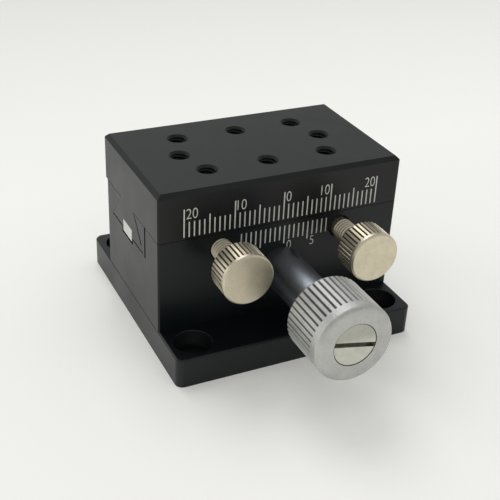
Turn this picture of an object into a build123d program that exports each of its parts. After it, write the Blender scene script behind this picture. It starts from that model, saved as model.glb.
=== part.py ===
from build123d import *
import math
import os

# Dovetail linear stage with a rack-and-pinion drive, a knurled drive knob and a flexure clamp.
# X is the travel direction, the knob points to -Y and +Z is up.  The origin is the centre of
# the underside of the base plate.  All sizes are in millimetres.

# ---------------------------------------------------------------- clearances
press_clearance = 0.02      # radial gap of pressed and bonded fits
running_clearance = 0.05    # radial gap of turning and screwing fits
slide_clearance = 0.05      # gap square to the dovetail flanks
seat_clearance = 0.05       # gap along an axis between stacked pieces

# ---------------------------------------------------------------- base plate
stage_length = 50.0         # of the base, the body, the carriage and the rack alike
base_width = 50.0
base_thickness = 6.0
base_corner_radius = 1.5
base_edge_chamfer = 0.3
mount_hole_edge = 5.0       # from the plate's edge to each hole's axis
mount_hole_radius = 2.25
mount_counterbore_radius = 3.75
mount_counterbore_depth = 4.3

# ---------------------------------------------------------------- stage body
body_height = 18.9
body_edge_chamfer = 0.3
back_overhang = 1.0         # how far the carriage stands out over the body's back

# ---------------------------------------------------------------- carriage
carriage_width = 30.0
carriage_thickness = 9.5
carriage_gap = 0.1
carriage_edge_chamfer = 0.8
carriage_corner_chamfer = 0.3
travel = 20.0
tapped_hole_radius = 1.65
tapped_hole_depth = 6.5
tapped_mouth_radius = 2.1
corner_pitch_x = 25.0
corner_pitch_y = 15.0
centre_pitch_y = 15.0
centre_pitch_x = 30.0

# ---------------------------------------------------------------- dovetail
flank_angle = 50.0          # from the horizontal
slide_centre = 1.85         # Y of the dovetail's middle plane
dovetail_foot_width = 17.2
dovetail_depth = 6.0        # from the carriage's underside to the dovetail's foot
socket_clearance = 0.3
flank_relief = 0.35         # cut back on the lip, above its bearing strip
relief_start = 1.3          # height of the bearing strip above the socket floor
lip_foot_thickness = 0.985  # of the flexure lip, level with the dovetail's foot
slit_width = 0.6
slit_depth = 6.4

# ---------------------------------------------------------------- gearing
gear_module = 0.5
pinion_teeth = 12
profile_shift = 0.3
pressure_angle = 20.0
tip_factor = 0.9
root_factor = 1.25
backlash = 0.08
rack_seat_depth = 1.6       # depth of the rack's seat in the dovetail
rack_height = 2.5
rack_width = 5.0
channel_clearance = 0.5
channel_side_gap = 0.55
pinion_width = 5.3
flank_points = 4

# ---------------------------------------------------------------- rack screws
rack_screw_end = 2.4        # from the rack's end to the screw's axis
rack_screw_radius = 1.0
rack_screw_head_radius = 1.7
rack_screw_reach = 3.4      # from the rack's back to the screw's end

# ---------------------------------------------------------------- drive shaft
shaft_radius = 2.0
shaft_flat = 1.6            # distance of the knob flat from the axis
shaft_tail = 1.05           # end of the shaft beyond the rear bush
bush_wall = 0.7
rear_bush_length = 6.0
front_bush_length = 6.0
sleeve_radius = 4.0
sleeve_bore_radius = 3.0
sleeve_seat_depth = 5.6
sleeve_end_chamfer = 0.3
cavity_clearance = 0.4
set_screw_radius = 1.5
set_screw_length = 3.5
set_screw_inset = 2.8

# ---------------------------------------------------------------- knob
knob_radius = 7.6
knob_length = 11.0
knob_reach = 28.4           # from the body's front face to the knob's front face
knob_knurl_length = 8.3
knob_knurl_count = 44
knob_knurl_depth = 0.32
knob_knurl_opening = 0.46   # share of the knurl pitch taken by each groove
knob_front_round = 0.9
knob_rear_neck = 0.5        # plain step behind the knurled band
knob_web = 1.5
knob_counterbore_radius = 4.25
knob_counterbore_depth = 2.5
knob_screw_head_radius = 4.1
knob_screw_head_length = 2.4
knob_screw_radius = 1.5
knob_screw_length = 6.0
knob_screw_slot_width = 0.9
knob_screw_slot_depth = 1.0
knob_screw_slot_angle = -12.0
washer_radius = 3.6
washer_thickness = 0.4
spring_thickness = 0.25
spring_height = 0.65

# ---------------------------------------------------------------- clamp screws
clamp_spacing = 25.0
clamp_drop = 3.3                # from the body's top face down to the screws' axes
clamp_thread_radius = 2.0
clamp_mouth_radius = 2.35
clamp_thread_pitch = 0.7
clamp_backed_off_turns = 2.0    # how far the right screw stands backed off
clamp_head_radius = 4.95
clamp_head_length = 5.6
clamp_reach = 11.9              # from the body to the front face of a screw that is home
clamp_knurl_length = 4.3
clamp_knurl_count = 38
clamp_knurl_depth = 0.28
clamp_knurl_opening = 0.5
clamp_head_chamfer = 0.3
clamp_rear_neck = 0.4           # plain step behind the knurled band
pad_radius = 1.8
pad_length = 1.9
pad_stem_radius = 0.9
pad_stem_length = 1.6

# ---------------------------------------------------------------- fasteners below
body_screw_end = 7.5        # from the plate's end to the screw's axis
body_screw_y = 8.5
body_screw_radius = 1.5
body_screw_head_radius = 2.75
body_screw_head_length = 3.0
body_screw_length = 11.0
body_screw_inset = 0.3
dowel_end = 3.5             # from the plate's end to the dowel's axis
dowel_radius = 1.5
dowel_bottom = 1.0
dowel_length = 10.0

# ---------------------------------------------------------------- travel stop
stop_pin_radius = 1.25
stop_pin_edge = 2.8         # from the body's back to the pin's axis
stop_pin_bridge = 0.5       # body metal left between the pin's hole and the dovetail socket
stop_pin_projection = 1.9
stop_slot_depth = 2.2
stop_slot_side_gap = 0.1

# ---------------------------------------------------------------- derived places
body_top = base_thickness + body_height
body_front = -carriage_width / 2
body_back = carriage_width / 2 - back_overhang
carriage_bottom = body_top + carriage_gap
carriage_top = carriage_bottom + carriage_thickness
dovetail_foot = carriage_bottom - dovetail_depth
flank_slope = 1 / math.tan(math.radians(flank_angle))
socket_widening = slide_clearance / math.sin(math.radians(flank_angle))
socket_floor = dovetail_foot - socket_clearance
slit_floor = body_top - slit_depth
rack_back = dovetail_foot + rack_seat_depth
rack_tip = rack_back - rack_height      # crests of the rack teeth
rack_screw_x = stage_length / 2 - rack_screw_end
rack_screw_top = rack_back + rack_screw_reach
channel_floor = rack_tip - channel_clearance
pitch = math.pi * gear_module
pitch_radius = gear_module * pinion_teeth / 2
rack_datum = rack_tip + gear_module
axis_z = rack_datum - pitch_radius - profile_shift * gear_module
rack_root = rack_datum + root_factor * gear_module
pinion_tip_radius = pitch_radius + gear_module * (tip_factor + profile_shift)
pinion_root_radius = pitch_radius - gear_module * (root_factor - profile_shift)
lip_face = slide_centre - dovetail_foot_width / 2 - socket_widening - lip_foot_thickness
slit_front = lip_face - slit_width
rack_front = slide_centre - rack_width / 2
rack_rear = slide_centre + rack_width / 2
channel_front = rack_front - channel_side_gap
channel_rear = rack_rear + channel_side_gap
cavity_radius = pinion_tip_radius + cavity_clearance
bush_inner_radius = shaft_radius + running_clearance
bush_outer_radius = shaft_radius + bush_wall
shaft_back_end = channel_rear + seat_clearance + rear_bush_length + shaft_tail
sleeve_back = body_front + sleeve_seat_depth
knob_front = body_front - knob_reach
knob_back = knob_front + knob_length
spring_front = knob_back + seat_clearance
spring_back = spring_front + spring_height
washer_front = spring_back + seat_clearance
washer_back = washer_front + washer_thickness
sleeve_front = washer_back + seat_clearance
clamp_height = body_top - clamp_drop
clamp_head_front = body_front - clamp_reach
clamp_shank_tip = lip_face - seat_clearance - pad_length
mount_hole_x = stage_length / 2 - mount_hole_edge
mount_hole_y = base_width / 2 - mount_hole_edge
body_screw_x = stage_length / 2 - body_screw_end
dowel_x = stage_length / 2 - dowel_end
stop_pin_y = body_back - stop_pin_edge
socket_back = slide_centre + dovetail_foot_width / 2 + socket_widening
stop_pin_bottom = dovetail_foot + (socket_back + stop_pin_bridge - stop_pin_y + stop_pin_radius) / flank_slope


def block(x_range, y_range, z_range):
    """Box between two values on each axis."""
    size = [high - low for low, high in (x_range, y_range, z_range)]
    middle = [(high + low) / 2 for low, high in (x_range, y_range, z_range)]
    return Pos(*middle) * Box(*size)


def rod_along_y(radius, front, back, x=0.0, z=0.0):
    """Round rod from the front plane to the back plane."""
    return Pos(x, (front + back) / 2, z) * Rot(90, 0, 0) * Cylinder(radius, back - front)


def rod_along_z(radius, bottom, top, x=0.0, y=0.0):
    """Round rod from the bottom plane to the top plane."""
    return Pos(x, y, (bottom + top) / 2) * Cylinder(radius, top - bottom)


def turned_along_y(profile, x=0.0, z=0.0):
    """Turned piece from a closed outline of (radius, Y) points."""
    return Pos(x, 0, z) * revolve(make_face(Polyline(*profile, close=True)), Axis.Y)


def bar_along_x(section, length):
    """Straight bar, centred on X = 0, from a closed outline of (Y, Z) points."""
    face = Plane.YZ.offset(-length / 2) * make_face(Polyline(*section, close=True))
    return extrude(face, amount=length, dir=(1, 0, 0))


def knurl_grooves(radius, depth, count, opening, front, back, z):
    """Ring of V grooves that cut a straight knurl into a turned surface."""
    half_width = math.pi * radius / count * opening
    overshoot = 0.3
    slope = half_width / depth
    outer = half_width + slope * overshoot
    top = radius + overshoot
    outline = Polyline((0, radius - depth), (outer, top), (-outer, top), close=True)
    face = Plane.XZ.offset(-back) * make_face(outline)
    groove = extrude(face, amount=back - front, dir=(0, -1, 0))
    return [Pos(0, 0, z) * Rot(0, 360 * step / count, 0) * groove for step in range(count)]


def tapped_hole(x, y):
    """Blind tapped hole in the carriage top, with its drill point and chamfered mouth."""
    bottom = carriage_top - tapped_hole_depth
    drill_point = tapped_hole_radius * 0.5
    mouth_depth = tapped_mouth_radius - tapped_hole_radius
    outline = [
        (0, bottom - drill_point),
        (tapped_hole_radius, bottom),
        (tapped_hole_radius, carriage_top - mouth_depth),
        (tapped_mouth_radius, carriage_top),
        (0, carriage_top),
    ]
    face = Plane.XZ * make_face(Polyline(*outline, close=True))
    return Pos(x, y, 0) * revolve(face, Axis.Z)


def dovetail_outline(bottom, top, widening):
    """Closed (Y, Z) outline of the dovetail, wider at its foot, between two heights."""
    half_foot = dovetail_foot_width / 2 + widening
    half_low = half_foot - (bottom - dovetail_foot) * flank_slope
    half_high = half_foot - (top - dovetail_foot) * flank_slope
    return [
        (slide_centre - half_low, bottom),
        (slide_centre + half_low, bottom),
        (slide_centre + half_high, top),
        (slide_centre - half_high, top),
    ]


def lip_relief_outline():
    """Closed (Y, Z) outline cut from the lip, so that it bears only along a strip at its foot."""
    start = socket_floor + relief_start
    low, _, _, high = dovetail_outline(start, body_top, socket_widening)
    return [low, high, (high[0] - flank_relief, body_top), (low[0] - flank_relief, start + flank_relief)]


def involute(angle):
    return math.tan(angle) - angle


def pinion_outline():
    """Closed (X, Z) outline of the pinion, about its own axis, with one tooth pointing up."""
    base_radius = pitch_radius * math.cos(math.radians(pressure_angle))
    thickness = gear_module * (math.pi / 2 + 2 * profile_shift * math.tan(math.radians(pressure_angle)))
    half_angle = (thickness - backlash / 2) / (2 * pitch_radius) + involute(math.radians(pressure_angle))
    flank = [(pinion_root_radius, half_angle)]
    for step in range(flank_points):
        radius = base_radius + (pinion_tip_radius - base_radius) * step / (flank_points - 1)
        flank.append((radius, half_angle - involute(math.acos(base_radius / radius))))
    points = []
    for tooth in range(pinion_teeth):
        centre = 2 * math.pi * tooth / pinion_teeth
        for radius, angle in flank:
            points.append((radius * math.sin(centre - angle), radius * math.cos(centre - angle)))
        for radius, angle in reversed(flank):
            points.append((radius * math.sin(centre + angle), radius * math.cos(centre + angle)))
    return points


def rack_outline():
    """Closed (X, Z) outline of the rack, with a tooth space over X = 0."""
    lean = math.tan(math.radians(pressure_angle))
    mouth = pitch / 4 + backlash / 4 + (rack_datum - rack_tip) * lean
    root = pitch / 4 + backlash / 4 - (rack_root - rack_datum) * lean
    last_space = int((stage_length / 2 - mouth) / pitch)
    points = [(-stage_length / 2, rack_tip), (-stage_length / 2, rack_back)]
    points += [(stage_length / 2, rack_back), (stage_length / 2, rack_tip)]
    for space in range(last_space, -last_space - 1, -1):
        centre = space * pitch
        points.append((centre + mouth, rack_tip))
        points.append((centre + root, rack_root))
        points.append((centre - root, rack_root))
        points.append((centre - mouth, rack_tip))
    return points


def extruded_along_y(outline, front, back, z=0.0):
    """Straight extrusion of a closed (X, Z) outline between two Y planes."""
    face = Plane.XZ.offset(-back) * make_face(Polyline(*outline, close=True))
    return Pos(0, 0, z) * extrude(face, amount=back - front, dir=(0, -1, 0))


def grid(x, y):
    return [(side_x * x, side_y * y) for side_x in (-1, 1) for side_y in (-1, 1)]


# ---------------------------------------------------------------- pieces of the fixed half
def make_base_plate():
    plate = Pos(0, 0, base_thickness / 2) * Box(stage_length, base_width, base_thickness)
    plate = fillet(plate.edges().filter_by(Axis.Z), base_corner_radius)
    plate = chamfer(plate.faces().sort_by(Axis.Z)[-1].edges(), base_edge_chamfer)
    for x, y in grid(mount_hole_x, mount_hole_y):
        plate -= rod_along_z(mount_hole_radius, 0, base_thickness, x, y)
        floor = base_thickness - mount_counterbore_depth
        plate -= rod_along_z(mount_counterbore_radius, floor, base_thickness, x, y)
    head_room = body_screw_head_length + body_screw_inset
    for x, y in grid(body_screw_x, body_screw_y):
        plate -= rod_along_z(body_screw_radius + running_clearance, 0, base_thickness, x, y)
        plate -= rod_along_z(body_screw_head_radius + running_clearance, 0, head_room, x, y)
    for side in (-1, 1):
        plate -= rod_along_z(dowel_radius + press_clearance, dowel_bottom, base_thickness, side * dowel_x)
    return plate


def clamp_hole(x):
    """Threaded hole for a clamp screw, from the front face to the slit, with a wide mouth."""
    mouth_depth = clamp_mouth_radius - clamp_thread_radius
    wall = clamp_thread_radius + running_clearance
    outline = [
        (0, body_front),
        (clamp_mouth_radius, body_front),
        (wall, body_front + mouth_depth),
        (wall, slit_front),
        (0, slit_front),
    ]
    return turned_along_y(outline, x, clamp_height)


def make_stage_body():
    body = block(
        (-stage_length / 2, stage_length / 2),
        (body_front, body_back),
        (base_thickness, body_top),
    )
    body = chamfer(body.edges().filter_by(Axis.Z), body_edge_chamfer)
    body -= bar_along_x(dovetail_outline(socket_floor, body_top, socket_widening), stage_length)
    x_range = (-stage_length / 2, stage_length / 2)
    body -= bar_along_x(lip_relief_outline(), stage_length)
    body -= block(x_range, (channel_front, channel_rear), (channel_floor, socket_floor))
    body -= block(x_range, (slit_front, lip_face), (slit_floor, body_top))
    body -= rod_along_y(cavity_radius, channel_front, channel_rear, z=axis_z)
    cavity_x = (-cavity_radius, cavity_radius)
    body -= block(cavity_x, (channel_front, channel_rear), (axis_z, channel_floor))
    bore_end = shaft_back_end + seat_clearance
    body -= rod_along_y(bush_outer_radius + press_clearance, sleeve_back, bore_end, z=axis_z)
    body -= rod_along_y(sleeve_radius + press_clearance, body_front, sleeve_back, z=axis_z)
    set_screw_wall = set_screw_radius + press_clearance
    body -= rod_along_z(set_screw_wall, base_thickness, axis_z, y=body_front + set_screw_inset)
    for side in (-1, 1):
        body -= clamp_hole(side * clamp_spacing / 2)
        dowel_room = dowel_bottom + dowel_length + seat_clearance
        body -= rod_along_z(dowel_radius + press_clearance, base_thickness, dowel_room, side * dowel_x)
    screw_room = body_screw_inset + body_screw_head_length + body_screw_length + seat_clearance
    for x, y in grid(body_screw_x, body_screw_y):
        body -= rod_along_z(body_screw_radius + press_clearance, base_thickness, screw_room, x, y)
    body -= rod_along_z(stop_pin_radius + press_clearance, stop_pin_bottom, body_top, y=stop_pin_y)
    return body


def make_body_screws():
    screws = []
    head_top = body_screw_inset + body_screw_head_length
    for x, y in grid(body_screw_x, body_screw_y):
        screw = rod_along_z(body_screw_head_radius, body_screw_inset, head_top, x, y)
        screws.append(screw + rod_along_z(body_screw_radius, head_top, head_top + body_screw_length, x, y))
    return Compound(children=screws)


def make_dowel_pins():
    top = dowel_bottom + dowel_length
    pins = [rod_along_z(dowel_radius, dowel_bottom, top, side * dowel_x) for side in (-1, 1)]
    return Compound(children=pins)


def make_travel_stop_pin():
    top = body_top + stop_pin_projection
    return rod_along_z(stop_pin_radius, stop_pin_bottom, top, y=stop_pin_y)


def make_shaft_sleeve():
    outline = [
        (sleeve_bore_radius + press_clearance, sleeve_front),
        (sleeve_radius - sleeve_end_chamfer, sleeve_front),
        (sleeve_radius, sleeve_front + sleeve_end_chamfer),
        (sleeve_radius, sleeve_back - seat_clearance),
        (sleeve_bore_radius + press_clearance, sleeve_back - seat_clearance),
    ]
    return turned_along_y(outline, z=axis_z)


def make_bush(front, length, outer_radius):
    outline = [
        (bush_inner_radius, front),
        (outer_radius, front),
        (outer_radius, front + length),
        (bush_inner_radius, front + length),
    ]
    return turned_along_y(outline, z=axis_z)


def make_sleeve_set_screw():
    top = axis_z - sleeve_radius - seat_clearance
    bottom = top - set_screw_length
    return rod_along_z(set_screw_radius, bottom, top, y=body_front + set_screw_inset)


# ---------------------------------------------------------------- pieces of the moving half
def make_carriage():
    top_plate = block(
        (-stage_length / 2, stage_length / 2),
        (-carriage_width / 2, carriage_width / 2),
        (carriage_bottom, carriage_top),
    )
    carriage = chamfer(top_plate.faces().sort_by(Axis.Z)[-1].edges(), carriage_edge_chamfer)
    carriage = chamfer(carriage.edges().filter_by(Axis.Z), carriage_corner_chamfer)
    carriage += bar_along_x(dovetail_outline(dovetail_foot, carriage_bottom, 0), stage_length)
    x_range = (-stage_length / 2, stage_length / 2)
    carriage -= block(x_range, (rack_front - press_clearance, rack_rear + press_clearance),
                      (dovetail_foot, rack_back))
    for x, y in grid(corner_pitch_x / 2, corner_pitch_y / 2):
        carriage -= tapped_hole(x, y)
    for side in (-1, 1):
        carriage -= tapped_hole(0, side * centre_pitch_y / 2)
        carriage -= tapped_hole(side * centre_pitch_x / 2, 0)
        screw_wall = rack_screw_radius + press_clearance
        carriage -= rod_along_z(screw_wall, rack_back, rack_screw_top + seat_clearance,
                                side * rack_screw_x, slide_centre)
    slot_half_width = stop_pin_radius + stop_slot_side_gap
    slot_top = carriage_bottom + stop_slot_depth
    y_range = (stop_pin_y - slot_half_width, stop_pin_y + slot_half_width)
    slot_straight = travel + stop_pin_radius + stop_slot_side_gap - slot_half_width
    carriage -= block((-slot_straight, slot_straight), y_range, (carriage_bottom, slot_top))
    for side in (-1, 1):
        carriage -= rod_along_z(slot_half_width, carriage_bottom, slot_top, side * slot_straight, stop_pin_y)
    return carriage


def rack_screw(x, gap):
    """Countersunk screw from below; a gap larger than zero gives the hole that it sits in."""
    cone = rack_screw_head_radius - rack_screw_radius
    head_face = rack_root + seat_clearance - gap
    outline = [
        (0, head_face),
        (rack_screw_head_radius + gap, head_face),
        (rack_screw_radius + gap, head_face + cone),
        (rack_screw_radius + gap, rack_screw_top),
        (0, rack_screw_top),
    ]
    face = Plane.XZ * make_face(Polyline(*outline, close=True))
    return Pos(x, slide_centre, 0) * revolve(face, Axis.Z)


def make_rack():
    rack = extruded_along_y(rack_outline(), rack_front, rack_rear)
    for side in (-1, 1):
        rack -= rack_screw(side * rack_screw_x, press_clearance)
        access = rack_screw_head_radius + press_clearance
        rack -= rod_along_z(access, rack_tip, rack_root + seat_clearance, side * rack_screw_x, slide_centre)
    return rack


def make_rack_screws():
    slot = block((-stage_length, stage_length), (slide_centre - 0.2, slide_centre + 0.2),
                 (rack_root, rack_root + rack_screw_radius / 3))
    screws = [rack_screw(side * rack_screw_x, 0) - slot for side in (-1, 1)]
    return Compound(children=screws)


# ---------------------------------------------------------------- pieces that turn with the knob
def make_pinion_shaft():
    front = knob_front + knob_counterbore_depth + knob_web + seat_clearance
    shaft = rod_along_y(shaft_radius, front, shaft_back_end, z=axis_z)
    flat_side = block((-shaft_radius, shaft_radius), (front, knob_back),
                      (axis_z + shaft_flat, axis_z + shaft_radius))
    shaft -= flat_side
    thread = knob_screw_radius + press_clearance
    screw_tip = knob_front + knob_counterbore_depth + knob_screw_length + seat_clearance
    return shaft - rod_along_y(thread, front, screw_tip, z=axis_z)


def make_pinion():
    front = slide_centre - pinion_width / 2
    back = slide_centre + pinion_width / 2
    pinion = extruded_along_y(pinion_outline(), front, back, axis_z)
    return pinion - rod_along_y(shaft_radius + press_clearance, front, back, z=axis_z)


def make_knob():
    front_turn = knob_front + knob_front_round
    knurl_back = knob_back - knob_rear_neck
    outline = Line((0, knob_front), (knob_radius - knob_front_round, knob_front))
    outline += RadiusArc((knob_radius - knob_front_round, knob_front), (knob_radius, front_turn),
                         -knob_front_round)
    outline += Polyline(
        (knob_radius, front_turn),
        (knob_radius, knurl_back),
        (knob_radius - knob_knurl_depth, knurl_back),
        (knob_radius - knob_knurl_depth, knob_back),
        (0, knob_back),
        (0, knob_front),
    )
    knob = Pos(0, 0, axis_z) * revolve(make_face(outline), Axis.Y)
    knob -= knurl_grooves(knob_radius, knob_knurl_depth, knob_knurl_count, knob_knurl_opening,
                          knurl_back - knob_knurl_length, knurl_back, axis_z)
    counterbore_floor = knob_front + knob_counterbore_depth
    knob -= rod_along_y(knob_counterbore_radius, knob_front, counterbore_floor, z=axis_z)
    knob -= rod_along_y(knob_screw_radius + running_clearance, counterbore_floor, knob_back, z=axis_z)
    seat = counterbore_floor + knob_web
    bore = rod_along_y(shaft_radius + press_clearance, seat, knob_back, z=axis_z)
    bore -= block((-knob_radius, knob_radius), (seat, knob_back),
                  (axis_z + shaft_flat + press_clearance, axis_z + knob_radius))
    return knob - bore


def make_knob_screw():
    head_back = knob_front + knob_counterbore_depth
    head_front = head_back - knob_screw_head_length
    screw = rod_along_y(knob_screw_head_radius, head_front, head_back, z=axis_z)
    screw += rod_along_y(knob_screw_radius, head_back, head_back + knob_screw_length, z=axis_z)
    slot = block(
        (-knob_screw_head_radius, knob_screw_head_radius),
        (head_front, head_front + knob_screw_slot_depth),
        (-knob_screw_slot_width / 2, knob_screw_slot_width / 2),
    )
    return screw - Pos(0, 0, axis_z) * Rot(0, -knob_screw_slot_angle, 0) * slot


def make_thrust_washer():
    outline = [
        (bush_inner_radius, washer_front),
        (washer_radius, washer_front),
        (washer_radius, washer_back),
        (bush_inner_radius, washer_back),
    ]
    return turned_along_y(outline, z=axis_z)


def make_disc_spring():
    """Shallow cone washer that takes up the end play of the shaft."""
    rise = spring_height - spring_thickness
    outline = [
        (bush_inner_radius, spring_front),
        (washer_radius, spring_front + rise),
        (washer_radius, spring_back),
        (bush_inner_radius, spring_back - rise),
    ]
    return turned_along_y(outline, z=axis_z)


# ---------------------------------------------------------------- pieces of each clamp screw
def make_clamp_screw(x, shift):
    """One-piece knurled thumbscrew; shift moves it along Y from its home position."""
    front = clamp_head_front + shift
    back = front + clamp_head_length
    knurl_back = back - clamp_rear_neck
    outline = [
        (0, front),
        (clamp_head_radius - clamp_head_chamfer, front),
        (clamp_head_radius, front + clamp_head_chamfer),
        (clamp_head_radius, knurl_back),
        (clamp_head_radius - clamp_knurl_depth, knurl_back),
        (clamp_head_radius - clamp_knurl_depth, back),
        (clamp_thread_radius, back),
        (clamp_thread_radius, clamp_shank_tip + shift),
        (0, clamp_shank_tip + shift),
    ]
    screw = turned_along_y(outline, z=clamp_height)
    screw -= knurl_grooves(clamp_head_radius, clamp_knurl_depth, clamp_knurl_count,
                           clamp_knurl_opening, knurl_back - clamp_knurl_length, knurl_back, clamp_height)
    stem_room = clamp_shank_tip + shift - pad_stem_length - seat_clearance
    screw -= rod_along_y(pad_stem_radius + running_clearance, stem_room, clamp_shank_tip + shift,
                         z=clamp_height)
    return Pos(x, 0, 0) * screw


def make_clamp_pad(x, shift):
    """Swivel pad in the tip of a clamp screw, which presses the flexure lip."""
    front = clamp_shank_tip + shift + seat_clearance / 2
    pad = rod_along_y(pad_radius, front, lip_face - seat_clearance / 2 + shift, x, clamp_height)
    return pad + rod_along_y(pad_stem_radius, front - pad_stem_length, front, x, clamp_height)


bush_front_end = sleeve_front + front_bush_length
backed_off = -clamp_backed_off_turns * clamp_thread_pitch

pieces = {
    "base_plate": make_base_plate(),
    "stage_body": make_stage_body(),
    "body_screws": make_body_screws(),
    "dowel_pins": make_dowel_pins(),
    "travel_stop_pin": make_travel_stop_pin(),
    "shaft_sleeve": make_shaft_sleeve(),
    "front_bush": make_bush(sleeve_front, front_bush_length, sleeve_bore_radius),
    "rear_bush": make_bush(channel_rear + seat_clearance, rear_bush_length, bush_outer_radius),
    "sleeve_set_screw": make_sleeve_set_screw(),
    "carriage": make_carriage(),
    "rack": make_rack(),
    "rack_screws": make_rack_screws(),
    "pinion_shaft": make_pinion_shaft(),
    "pinion": make_pinion(),
    "knob": make_knob(),
    "knob_screw": make_knob_screw(),
    "thrust_washer": make_thrust_washer(),
    "disc_spring": make_disc_spring(),
    "clamp_screw_left": make_clamp_screw(-clamp_spacing / 2, 0),
    "clamp_pad_left": make_clamp_pad(-clamp_spacing / 2, 0),
    "clamp_screw_right": make_clamp_screw(clamp_spacing / 2, backed_off),
    "clamp_pad_right": make_clamp_pad(clamp_spacing / 2, backed_off),
}

os.makedirs("parts", exist_ok=True)
for name, piece in pieces.items():
    export_step(piece, f"parts/{name}.step")
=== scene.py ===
"""Looks of a small dovetail stage: finishes, engraved scales, threads, knurled parts, floor and light."""

import math

import bmesh
import bpy
from mathutils import Matrix, Vector


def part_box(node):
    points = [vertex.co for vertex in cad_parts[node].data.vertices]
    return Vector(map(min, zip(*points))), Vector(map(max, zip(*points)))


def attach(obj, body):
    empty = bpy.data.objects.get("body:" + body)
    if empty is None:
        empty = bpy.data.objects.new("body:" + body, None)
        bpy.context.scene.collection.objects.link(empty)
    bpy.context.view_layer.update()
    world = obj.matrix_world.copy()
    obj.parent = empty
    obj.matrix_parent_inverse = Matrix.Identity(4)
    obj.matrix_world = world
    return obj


bl_info = {
    "name": "Dovetail Stage Looks",
    "version": (1, 0, 0),
    "blender": (4, 5, 0),
    "location": "View3D > Sidebar > Stage",
    "description": "Finishes, engraved scales, threads and light for a small dovetail stage",
    "category": "Object",
}

MM = 0.001

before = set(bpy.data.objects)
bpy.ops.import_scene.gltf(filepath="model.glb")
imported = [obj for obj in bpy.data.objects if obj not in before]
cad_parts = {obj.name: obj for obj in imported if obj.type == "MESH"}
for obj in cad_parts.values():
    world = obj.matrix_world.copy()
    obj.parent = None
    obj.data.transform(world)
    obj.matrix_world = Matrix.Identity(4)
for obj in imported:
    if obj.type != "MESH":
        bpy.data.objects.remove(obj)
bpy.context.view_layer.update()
body_low, body_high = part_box("stage_body")
carriage_low, carriage_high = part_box("carriage")
base_low, base_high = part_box("base_plate")
knob_low, knob_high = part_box("knob")
screw_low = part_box("knob_screw")[0]
left_low, left_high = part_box("clamp_screw_left")
right_low, right_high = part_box("clamp_screw_right")

CARRIAGE_GAP = 0.1 * MM
SPLIT_TOP = body_high.z + CARRIAGE_GAP
KNOB_AXIS = Vector((0, 0, (knob_low.z + knob_high.z) / 2))
CLAMP_AXES = {
    "left": Vector(((left_low.x + left_high.x) / 2, 0, (left_low.z + left_high.z) / 2)),
    "right": Vector(((right_low.x + right_high.x) / 2, 0, (right_low.z + right_high.z) / 2)),
}
CLAMP_FRONTS = {"left": left_low.y, "right": right_low.y}
# How far each clamp screw can still go in from rest, so its thread stops that far from the body.
CLAMP_TRAVEL_IN = {"left": 0.0, "right": 1.4 * MM}
CLAMP_HEAD_LENGTH = 5.6 * MM
CLAMP_RIM = 0.85 * MM
CLAMP_KNURL_DEPTH = 0.28 * MM
CLAMP_SHANK_RADIUS = 1.99 * MM
CLAMP_THREAD_RADIUS = 2.14 * MM
KNOB_RIM = 1.7 * MM
KNOB_KNURL_DEPTH = 0.32 * MM
THREAD_PITCH = 0.7 * MM
THREAD_DEPTH = 0.16 * MM
TAPPED_RADIUS = 1.65 * MM
TAPPED_THREAD_LENGTH = 5.0 * MM
TAPPED_MOUTH = 0.55 * MM
CORNER_HOLES = (12.5 * MM, 7.5 * MM)
END_HOLES = 15.0 * MM
BORE_EDGE = 5.0 * MM
BORE_RADIUS = 3.75 * MM
BORE_RIM_HEIGHT = 0.18 * MM
BORE_RIM_INSET = 0.015 * MM
UP = Vector((0, 0, 1))
BACK = Vector((0, 1, 0))
ACROSS = Vector((1, 0, 0))
SMOOTH_ANGLE = math.radians(40)
THREAD_STEPS = 20
# Numerals, in shares of the font's own size.
NUMERAL_EXTRUDE = 0.02
NUMERAL_THINNING = -0.012
NUMERAL_NARROWING = 0.80
FLOOR_RADIUS = 1.6
FLOOR_RISE = 0.22
FLOOR_SPREAD = 0.16
LAMP_AIM = Vector((0, 0, 0.015))


# ------------------------------------------------------------------ settings
class StageFinishSettings(bpy.types.PropertyGroup):
    """Colours of the stage's own finishes."""

    body_colour: bpy.props.FloatVectorProperty(
        name="Body", description="Black anodised stage body", subtype="COLOR",
        default=(0.0030, 0.0054, 0.0062))
    carriage_colour: bpy.props.FloatVectorProperty(
        name="Carriage", description="Black anodised carriage", subtype="COLOR",
        default=(0.0045, 0.0058, 0.0058))
    base_colour: bpy.props.FloatVectorProperty(
        name="Base plate", description="Black anodised base plate", subtype="COLOR",
        default=(0.0040, 0.0058, 0.0075))
    sleeve_colour: bpy.props.FloatVectorProperty(
        name="Sleeve", description="Gloss black shaft sleeve", subtype="COLOR",
        default=(0.38, 0.41, 0.45))
    knob_colour: bpy.props.FloatVectorProperty(
        name="Drive knob", description="Bead-blasted drive knob", subtype="COLOR",
        default=(0.52, 0.52, 0.50))
    screw_colour: bpy.props.FloatVectorProperty(
        name="Knob screw", description="Polished screw in the knob", subtype="COLOR",
        default=(0.55, 0.55, 0.49))
    clamp_colour: bpy.props.FloatVectorProperty(
        name="Clamp screws", description="Warm nickel of the clamp screws", subtype="COLOR",
        default=(0.66, 0.595, 0.455))
    paint_colour: bpy.props.FloatVectorProperty(
        name="Scale paint", description="Off-white paint in the engraving", subtype="COLOR",
        default=(0.62, 0.61, 0.57))


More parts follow.
